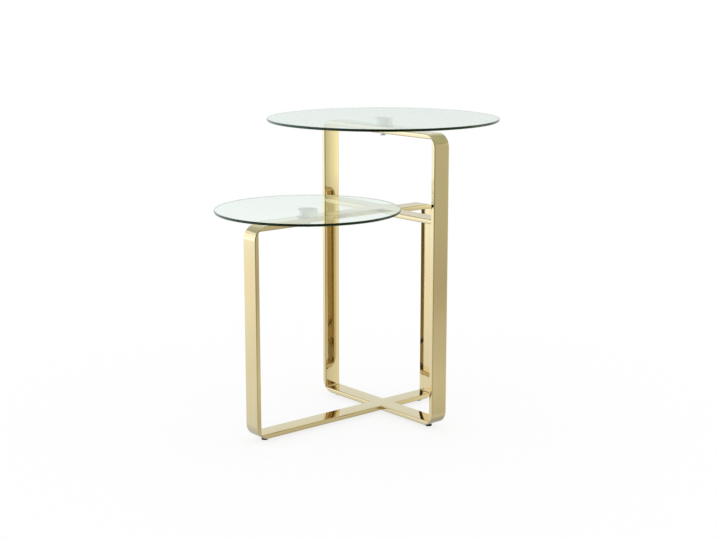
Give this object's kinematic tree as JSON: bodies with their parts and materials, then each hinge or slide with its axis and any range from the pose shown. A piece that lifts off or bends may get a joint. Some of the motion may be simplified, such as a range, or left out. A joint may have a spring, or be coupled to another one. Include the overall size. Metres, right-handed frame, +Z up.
{
  "type": "tiered side table",
  "caption": "Side table with a tall and a low round glass top on crossed upright loops of gold-plated rectangular tube, standing on screw-in levelling feet.",
  "frame": {"origin": "on the floor under the middle of the table's outline", "axes": "+Z up; +X along the low loop, from its front leg under the low glass to its back leg; +Y across, from the tall loop's leg to its post"},
  "size_m": [0.5964, 0.457, 0.5982],
  "materials": {
    "gold_plated_steel": "mirror polished, pale gold plating",
    "clear_glass": "clear, polished, ground edge",
    "clear_adhesive": "clear, cured",
    "satin_aluminium": "satin",
    "white_nylon": "matt",
    "zinc_plated_steel": "bright zinc",
    "black_nylon": "matt"
  },
  "bodies": {
    "frame": {"tall_loop": "gold_plated_steel", "low_loop": "gold_plated_steel", "mid_rail": "gold_plated_steel", "front_foot_insert": "zinc_plated_steel", "back_foot_insert": "zinc_plated_steel", "left_foot_insert": "zinc_plated_steel", "right_foot_insert": "zinc_plated_steel", "upper_glass": "clear_glass", "upper_bond_film": "clear_adhesive", "upper_boss": "satin_aluminium", "upper_boss_washer": "white_nylon", "upper_rail_sleeve": "zinc_plated_steel", "upper_screw_washer": "zinc_plated_steel", "upper_screw": "zinc_plated_steel", "lower_glass": "clear_glass", "lower_bond_film": "clear_adhesive", "lower_boss": "satin_aluminium", "lower_boss_washer": "white_nylon", "lower_rail_sleeve": "zinc_plated_steel", "lower_screw_washer": "zinc_plated_steel", "lower_screw": "zinc_plated_steel"},
    "front_foot": {"front_foot_pad": "black_nylon", "front_foot_stud": "zinc_plated_steel"},
    "back_foot": {"back_foot_pad": "black_nylon", "back_foot_stud": "zinc_plated_steel"},
    "left_foot": {"left_foot_pad": "black_nylon", "left_foot_stud": "zinc_plated_steel"},
    "right_foot": {"right_foot_pad": "black_nylon", "right_foot_stud": "zinc_plated_steel"}
  },
  "joints": [
    {"name": "front_foot_level", "type": "slide", "parent": "frame", "child": "front_foot", "axis": [0, 0, -1], "range_m": [0, 0.004]},
    {"name": "back_foot_level", "type": "slide", "parent": "frame", "child": "back_foot", "axis": [0, 0, -1], "range_m": [0, 0.004]},
    {"name": "left_foot_level", "type": "slide", "parent": "frame", "child": "left_foot", "axis": [0, 0, -1], "range_m": [0, 0.004]},
    {"name": "right_foot_level", "type": "slide", "parent": "frame", "child": "right_foot", "axis": [0, 0, -1], "range_m": [0, 0.004]}
  ]
}
